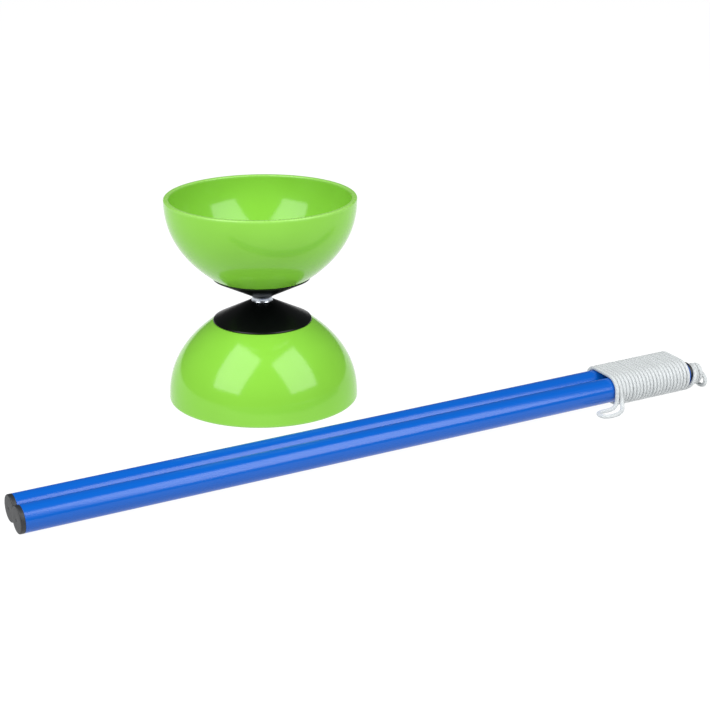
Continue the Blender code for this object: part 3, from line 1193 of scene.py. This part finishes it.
@dataclass
class Handsticks:
    """Two aluminium tubes, each with a flat plug in its grip and a plug with a nose in its tip."""

    tube_radius: float = 6.0 * MM
    tube_wall: float = 1.0 * MM
    tube_cut: float = 0.12 * MM
    tube_start: float = 2.05 * MM
    tube_end: float = 342.95 * MM
    tube_middle: float = 173.0 * MM
    lift: float = 2.1 * MM  # how far the winding holds the tips off the floor
    stagger: float = 1.0 * MM  # how far the front stick's grip is past the rear one's
    winding_start: float = 295.0 * MM
    insert_radius: float = 4.95 * MM
    insert_depth: float = 14.0 * MM
    flange: float = 2.0 * MM
    sprue_radius: float = 0.7 * MM
    sprue_depth: float = 0.12 * MM
    tip_flange_start: float = 343.0 * MM
    tip_flange_radius: float = 5.6 * MM
    nose_radius: float = 2.2 * MM
    nose_end: float = 349.0 * MM
    hole_radius: float = 1.4 * MM
    pocket_radius: float = 3.4 * MM
    pocket_depth: float = 6.5 * MM
    steps: int = 96

    def place(self, side: Side) -> StickPlace:
        """Where one stick lies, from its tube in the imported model."""
        pitch = math.asin(self.lift / self.winding_start)
        reach = StickPlace(Vector((0, 0, 0)), pitch).point(self.tube_middle, 0, 0)
        origin = box_middle(f"stick_tube_{side.value}") - reach
        return StickPlace(origin, pitch, -self.stagger if side is Side.FRONT else 0.0)

    def tube_profile(self) -> list[Corner]:
        """The tube's wall, with its cut ends just broken."""
        inner, outer = self.tube_radius - self.tube_wall, self.tube_radius
        return [
            Corner(inner, self.tube_end, self.tube_cut),
            Corner(outer, self.tube_end, self.tube_cut),
            Corner(outer, self.tube_start, self.tube_cut),
            Corner(inner, self.tube_start, self.tube_cut),
        ]

    def grip_profile(self) -> list[Corner]:
        """From the end inside the tube to the flat face, which has the dimple of its sprue."""
        outer = self.tube_radius
        return [
            Corner(0, self.flange + self.insert_depth),
            Corner(self.insert_radius, self.flange + self.insert_depth, 0.8 * MM),
            Corner(self.insert_radius, self.flange),
            Corner(outer, self.flange, FINE_EDGE),
            Corner(outer, 0, 0.5 * MM),
            Corner(self.sprue_radius, 0, FINE_EDGE),
            Corner(self.sprue_radius - 0.1 * MM, self.sprue_depth, FINE_EDGE),
            Corner(0, self.sprue_depth),
        ]

    def tip_profile(self) -> list[Corner]:
        """The nose, the flange and the insert, round a hole with a pocket for the knot."""
        flange_end = self.tip_flange_start + self.flange
        insert_end = self.tip_flange_start - self.insert_depth
        pocket_end = insert_end + self.pocket_depth
        return [
            Corner(self.hole_radius, self.nose_end, SOFT_EDGE),
            Corner(self.nose_radius, self.nose_end, 0.4 * MM),
            Corner(self.nose_radius, flange_end, SOFT_EDGE),
            Corner(self.tip_flange_radius, flange_end, 0.5 * MM),
            Corner(self.tip_flange_radius, self.tip_flange_start, FINE_EDGE),
            Corner(self.insert_radius, self.tip_flange_start),
            Corner(self.insert_radius, insert_end, 0.4 * MM),
            Corner(self.pocket_radius, insert_end, BROKEN_EDGE),
            Corner(self.pocket_radius, pocket_end, SOFT_EDGE),
            Corner(self.hole_radius, pocket_end, BROKEN_EDGE),
        ]

    def build(self, side: Side) -> dict[str, bpy.types.Object]:
        """Turn one stick's tube and plugs."""
        where = self.place(side).placement
        pieces = {}
        for kind, suffix, profile, closed in (
            ("stick_tube", "extrusion", self.tube_profile(), True),
            ("grip_plug", "moulding", self.grip_profile(), False),
            ("tip_plug", "moulding", self.tip_profile(), True),
        ):
            node = f"{kind}_{side.value}"
            pieces[node] = turn(f"{node}_{suffix}", profile, where, self.steps, closed)
        return pieces

    def dress(self, sticks: Iterable[dict[str, bpy.types.Object]]) -> None:
        """Colour the tubes and plugs and put them on their body."""
        tube, plug = BLUE_TUBE.material(), BLACK_PE.material()
        for pieces in sticks:
            for node, piece in pieces.items():
                is_tube = node.startswith("stick_tube")
                wear_it(piece, tube if is_tube else plug)
                slot = Slot.STICK_TUBE if is_tube else Slot.PLUG_PLASTIC
                enter(piece, Body.HANDSTICKS, slot, node)


# The string

PLAIT_DEPTH = 0.03  # how far the plait's bumps stand out, in parts of the cord's radius

# Listed stretches: along the stick, across it and up from its axis, in millimetres.
BIGHT_ROUTE = [
    (296.0, -7.1, -3.0),
    (295.7, -7.15, -4.6),
    (294.8, -7.2, -5.9),
    (293.5, -7.25, -6.75),
    (291.8, -7.3, -7.0),
    (289.5, -7.3, -7.0),
    (286.6, -7.3, -7.0),
    (284.2, -8.2, -7.0),
    (283.2, -10.7, -7.0),
    (284.2, -13.1, -7.0),
    (286.6, -14.1, -7.0),
    (290.5, -13.9, -7.0),
    (294.2, -12.6, -7.0),
    (296.8, -10.5, -6.2),
    (298.0, -8.4, -4.1),
]
TAIL_FRONT_ROUTE = [
    (334.9, 0.0, 0.0),
    (341.0, 0.0, 0.0),
    (348.1, 0.0, 0.0),
    (349.6, -0.3, 0.0),
    (350.8, -1.4, -0.2),
    (351.3, -3.3, -0.7),
    (351.4, -5.1, -2.1),
    (351.4, -5.8, -4.0),
    (351.3, -5.0, -5.9),
    (351.2, -3.0, -6.8),
    (351.1, -0.6, -6.5),
    (350.9, 1.6, -5.4),
]
LEAD_FRONT_ROUTE = [
    (341.5, -5.7, -4.5),
    (342.7, -6.9, -2.2),
    (343.9, -6.6, 1.0),
    (345.0, -3.9, 3.2),
]
LEAD_REAR_ROUTE = [
    (335.9, 0.0, 0.0),
    (342.0, 0.0, 0.0),
    (349.7, 0.0, 0.0),
    (351.8, -0.4, -0.4),
    (353.3, -1.6, -1.4),
    (353.8, -3.1, -2.7),
    (353.3, -4.7, -4.1),
    (351.8, -5.8, -5.1),
    (349.7, -6.2, -5.5),
]
VALLEY_ROUTE = [(342.0, 9.9, -7.0), (343.2, 7.4, -6.8), (345.4, 6.2, -6.2)]  # front stick's frame


@dataclass
class String:
    """One braided cord: out of the front tip, wound on doubled, and back into the rear tip."""

    front: StickPlace
    rear: StickPlace
    radius: float = 1.0 * MM
    winding_radius: float = 7.05 * MM
    spacing: float = 12.3 * MM  # between the two sticks' axes
    lay: float = 4.1 * MM  # two strands side by side
    start_a: float = 296.0 * MM
    start_b: float = 298.05 * MM
    turns_a: float = 10.9
    turns_b: float = 10.66
    hitch_radius: float = 4.3 * MM
    hitch_drop: float = 1.0 * MM
    hitch_from: float = 350.7 * MM
    hitch_to: float = 345.6 * MM
    ring_gap: float = 0.45 * MM
    plait: float = 1.8 * MM
    lobes: int = 4
    sides: int = 16
    knot_place: float = 332.8 * MM
    knot_size: float = 0.72 * MM
    knot_reach: float = 1.1 * MM
    knot_points: int = 120
    knot_thinning: float = 0.85  # pulled tight, the braid is thinner
    stray: float = 0.16 * MM  # of hand-laid turns
    hitch_first: float = math.radians(325)  # the angles the loose turns start and end at
    hitch_last: float = math.radians(1160)
    hitch_points: int = 58
    points_per_turn: int = 48
    points_per_stretch: int = 8
    easing: int = 10  # passes, as the core's stiffness takes the edge off every bend

    def wound(self, start: float, turns: float, wander: float) -> Vector:
        """A place on the winding.

        Args:
            start: Where along the stick this strand's winding starts.
            turns: How many turns have been made.
            wander: Which way the hand-laid turns stray a little.

        Returns:
            The cord's middle, along, across and up, in metres, in the front stick's frame.
        """
        radius, span = self.winding_radius, self.spacing
        quarter, half = math.pi / 2 * radius, math.pi * radius
        s = (turns % 1) * (2 * half + 2 * span)
        if s < quarter:
            angle = math.pi - s / radius
            across, up = radius * math.cos(angle), radius * math.sin(angle)
        elif s < quarter + span:
            across, up = s - quarter, radius
        elif s < quarter + span + half:
            angle = math.pi / 2 - (s - quarter - span) / radius
            across, up = span + radius * math.cos(angle), radius * math.sin(angle)
        elif s < quarter + 2 * span + half:
            across, up = span - (s - quarter - span - half), -radius
        else:
            angle = 1.5 * math.pi - (s - quarter - 2 * span - half) / radius
            across, up = radius * math.cos(angle), radius * math.sin(angle)
        stray = self.stray * math.sin(math.tau * (0.37 * turns + wander)) * math.sin(
            math.tau * (turns + 0.4)
        )
        return Vector((start + self.lay * turns + stray, across, up))

    def hitch(self) -> list[Vector]:
        """The loose turns round the front tip's nose, in the front stick's frame."""
        places = []
        for i in range(self.hitch_points + 1):
            part = i / self.hitch_points
            angle = self.hitch_first + (self.hitch_last - self.hitch_first) * part
            radius = self.hitch_radius + self.stray * math.sin(2.3 * angle + 0.8)
            along = self.hitch_from + (self.hitch_to - self.hitch_from) * part
            up = radius * math.sin(angle) - self.hitch_drop
            places.append(Vector((along, radius * math.cos(angle), up)))
        return places

    def stations(self) -> list[Vector]:
        """The cord's middle from end to end, in the row frame, before it is evened out."""
        front, rear = self.front, self.rear
        route = self.laid(front, TAIL_FRONT_ROUTE)
        route += [front.point(*place) for place in self.hitch()]
        route += self.laid(front, reversed(LEAD_FRONT_ROUTE))
        count = round(self.turns_a * self.points_per_turn)
        route += [
            front.point(*self.wound(self.start_a, self.turns_a * (1 - i / count), 0.0))
            for i in range(count + 1)
        ]
        route += self.laid(front, BIGHT_ROUTE)
        count = round(self.turns_b * self.points_per_turn)
        route += [
            front.point(*self.wound(self.start_b, self.turns_b * i / count, 0.5))
            for i in range(1, count + 1)
        ]
        route += self.laid(front, VALLEY_ROUTE)
        route += self.laid(rear, reversed(LEAD_REAR_ROUTE))
        return route

    def laid(
        self, stick: StickPlace, stretch: Iterable[tuple[float, float, float]]
    ) -> list[Vector]:
        """A listed stretch on one stick, in the row frame."""
        return [stick.point(*(MM * c for c in place)) for place in stretch]

    def route(self) -> np.ndarray:
        """The cord's middle as evenly spaced points on one smooth curve."""
        knots = self.stations()
        knots = [2 * knots[0] - knots[1], *knots, 2 * knots[-1] - knots[-2]]
        fine: list[Vector] = []
        for before, start, end, after in zip(knots, knots[1:], knots[2:], knots[3:]):
            # Centripetal spacing keeps a long step beside a short one from overshooting.
            gaps = [
                max(math.sqrt((there - here).length), 1e-6)
                for here, there in ((before, start), (start, end), (end, after))
            ]
            leave = gaps[1] * (
                (start - before) / gaps[0]
                - (end - before) / (gaps[0] + gaps[1])
                + (end - start) / gaps[1]
            )
            arrive = gaps[1] * (
                (end - start) / gaps[1]
                - (after - start) / (gaps[1] + gaps[2])
                + (after - end) / gaps[2]
            )
            for i in range(self.points_per_stretch):
                t = i / self.points_per_stretch
                fine.append(
                    (2 * t**3 - 3 * t**2 + 1) * start
                    + (t**3 - 2 * t**2 + t) * leave
                    + (3 * t**2 - 2 * t**3) * end
                    + (t**3 - t**2) * arrive
                )
        fine.append(knots[-2])
        points = self.evened(np.array(fine))
        for _ in range(self.easing):
            points[1:-1] = (points[:-2] + 2 * points[1:-1] + points[2:]) / 4
        return self.evened(points)

    def evened(self, points: np.ndarray) -> np.ndarray:
        """The same curve in even steps of about one ring's gap."""
        walked = np.concatenate([[0], np.cumsum(np.linalg.norm(np.diff(points, axis=0), axis=1))])
        even = np.linspace(0, walked[-1], round(walked[-1] / self.ring_gap) + 1)
        return np.stack([np.interp(even, walked, points[:, axis]) for axis in range(3)], axis=1)

    def build_knot(self, side: Side) -> bpy.types.Object:
        """A stopper knot, pulled tight, in a tip plug's pocket."""
        where = self.front if side is Side.FRONT else self.rear
        loop = []
        for i in range(self.knot_points + 1):
            t = math.tau * (0.02 + 0.96 * i / self.knot_points)
            across = self.knot_size * (math.sin(t) + 2 * math.sin(2 * t))
            up = self.knot_size * (math.cos(t) - 2 * math.cos(2 * t))
            along = where.start + self.knot_place - self.knot_reach * math.sin(3 * t)
            loop.append(where.point(along, across, up))
        return sweep(
            f"string_knot_{side.value}_stopper",
            np.array(loop),
            self.knot_thinning * self.radius,
            self.sides,
            self.plait,
            self.lobes,
        )

    def dress(self) -> None:
        route = self.route()
        cord = sweep("string_cord", route, self.radius, self.sides, self.plait, self.lobes)
        knots = {side: self.build_knot(side) for side in Side}
        material = BraidedCord().material(self.plait)
        for piece in (cord, *knots.values()):
            wear_it(piece, material)
        enter(
            cord,
            Body.HANDSTICKS,
            Slot.BRAID,
            "string_winding",
            "string_bight",
            "string_hitch",
            "string_lead_front",
            "string_tail_front",
            "string_lead_rear",
        )
        for side, knot in knots.items():
            enter(knot, Body.HANDSTICKS, Slot.BRAID, f"string_knot_{side.value}")
        self.front.point(348.0 * MM, 0, 0)


# The studio


@dataclass(frozen=True)
class Softbox:
    """A square-fronted light on a stand, aimed at the spool."""

    name: str
    azimuth: float  # degrees, from +Y towards +X
    elevation: float
    distance: float
    width: float
    height: float
    watts: float

    def hang(self, target: Vector) -> None:
        """Add the light, facing its target, with its long side upright."""
        azimuth, elevation = math.radians(self.azimuth), math.radians(self.elevation)
        towards = Vector(
            (
                math.cos(elevation) * math.sin(azimuth),
                math.cos(elevation) * math.cos(azimuth),
                math.sin(elevation),
            )
        )
        light = bpy.data.lights.new(self.name, "AREA")
        light.shape = "RECTANGLE"
        light.size, light.size_y = self.width, self.height
        light.energy = self.watts
        stand = bpy.data.objects.new(self.name, light)
        stand.location = target + towards * self.distance
        stand.rotation_euler = (-towards).to_track_quat("-Z", "Y").to_euler()
        bpy.context.scene.collection.objects.link(stand)


@dataclass
class Studio:
    """A glowing floor, two softboxes, a dim surround and the camera."""

    floor_colour: str = "525456"
    floor_glow: float = 0.97  # the sheet is lit from below
    floor_roughness: float = 0.9
    floor_gloss: float = 0.2
    floor_size: float = 40.0
    surround: tuple[float, float, float] = (0.09, 0.09, 0.095)
    camera_place: Vector = Vector((-369.7, -695.4, 301.6)) * MM
    camera_aim: Vector = Vector((0.46036, 0.82395, -0.33041))
    lens: float = 88.24
    sensor: float = 36.0
    left: Softbox = Softbox("softbox_left", -105.0, 44.0, 1.2, 0.84, 1.2, 17.5)
    right: Softbox = Softbox("softbox_right", 153.0, 40.0, 1.2, 0.84, 1.05, 14.5)

    def lay_floor(self) -> None:
        """A large sheet of white acrylic, lit from below."""
        deselect()
        bpy.ops.mesh.primitive_plane_add(size=self.floor_size)
        floor = name_piece(bpy.context.object, "studio_floor")
        bpy.ops.object.mode_set(mode="EDIT")
        bpy.ops.mesh.select_all(action="SELECT")
        bpy.ops.mesh.subdivide(number_cuts=3)
        bpy.ops.object.mode_set(mode="OBJECT")
        material, shader = new_material("glowing_white_acrylic_sheet")
        material.cycles.emission_sampling = "NONE"
        connect(
            shader,
            {
                "Emission Color": (1.0, 1.0, 1.0, 1.0),
                "Emission Strength": self.floor_glow,
                "Base Color": linear(self.floor_colour),
                "Roughness": self.floor_roughness,
                "Specular IOR Level": self.floor_gloss,
            },
        )
        wear_it(floor, material)

    def light(self, target: Vector) -> None:
        """Hang the softboxes and light the surround."""
        for box in (self.left, self.right):
            box.hang(target)
        world = bpy.data.worlds.new("studio_surround")
        world.use_nodes = True
        background = world.node_tree.nodes["Background"]
        background.inputs["Color"].default_value = (*self.surround, 1.0)
        background.inputs["Strength"].default_value = 1.0
        bpy.context.scene.world = world
        bpy.context.scene.view_settings.view_transform = "Standard"

    def stand_camera(self) -> None:
        """A long lens, level from side to side, looking down at the object."""
        camera = bpy.data.cameras.new("camera")
        camera.lens = self.lens
        camera.sensor_width = self.sensor
        stand = bpy.data.objects.new("camera", camera)
        stand.location = self.camera_place
        stand.rotation_euler = self.camera_aim.to_track_quat("-Z", "Y").to_euler()
        bpy.context.scene.collection.objects.link(stand)
        bpy.context.scene.camera = stand


def main() -> None:
    """Build the diabolo, its handsticks and string, and the studio round them."""
    logging.basicConfig(level=logging.INFO, format="%(message)s")
    place = SpoolPlace.from_frame()
    studio = Studio()
    studio.lay_floor()
    studio.light(Vector((place.axis.x, place.axis.y, place.height / 2)))
    studio.stand_camera()

    cups = Cups(place)
    cups.dress(cups.build())
    cones = Cones(place)
    cones.dress(cones.build())
    Axle(place).dress()

    sticks = Handsticks()
    sticks.dress([sticks.build(side) for side in Side])
    String(sticks.place(Side.FRONT), sticks.place(Side.REAR)).dress()


if __name__ == "__main__":
    main()
